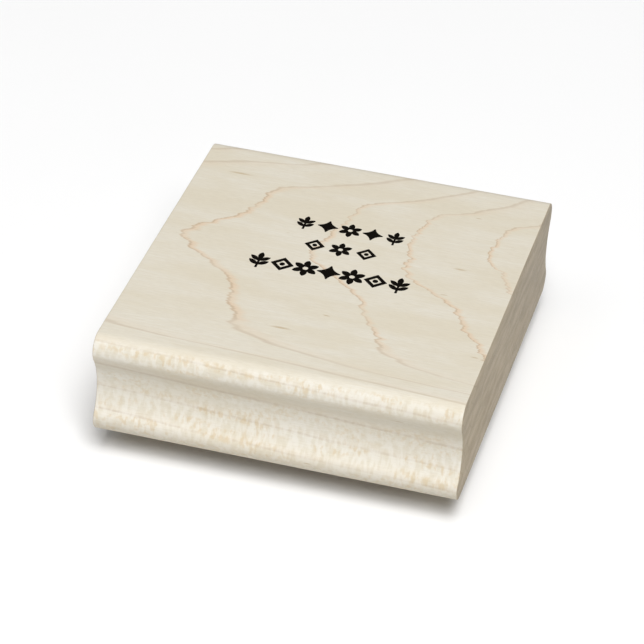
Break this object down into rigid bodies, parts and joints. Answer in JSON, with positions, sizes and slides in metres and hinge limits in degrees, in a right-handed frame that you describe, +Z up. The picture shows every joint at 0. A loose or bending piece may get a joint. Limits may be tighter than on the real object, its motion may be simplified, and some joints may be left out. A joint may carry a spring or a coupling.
{
  "type": "rubber stamp",
  "caption": "Wood-mounted rubber stamp: a moulded hardwood block with finger coves, a foam cushion and an engraved rubber die beneath, and an ornamental index print on top.",
  "frame": {"origin": "on the printing plane, the lowest plane of the stamp, under the middle of the wood block", "axes": "+X along the moulding from its left to its right sawn end, +Y from the front finger cove to the back one, +Z up from the printing plane to the index print"},
  "size_m": [0.076, 0.083, 0.0287],
  "materials": {
    "maple": "bare, fine sanded, matte",
    "ink": "matte printed ink",
    "adhesive_film": "matte",
    "cushion_foam": "matte closed-cell foam",
    "stamp_rubber": "matte, faintly textured where engraved"
  },
  "bodies": {
    "block": {"wood_block": "maple", "index_print": "ink", "upper_adhesive_film": "adhesive_film", "foam_cushion": "cushion_foam"},
    "die": {"lower_adhesive_film": "adhesive_film", "rubber_die": "stamp_rubber"}
  },
  "joints": [
    {"name": "cushion_press", "type": "slide", "parent": "block", "child": "die", "axis": [0, 0, 1], "range_m": [0, 0.0008], "stiffness_N_per_m": 50000, "deforming": ["foam_cushion"]}
  ]
}
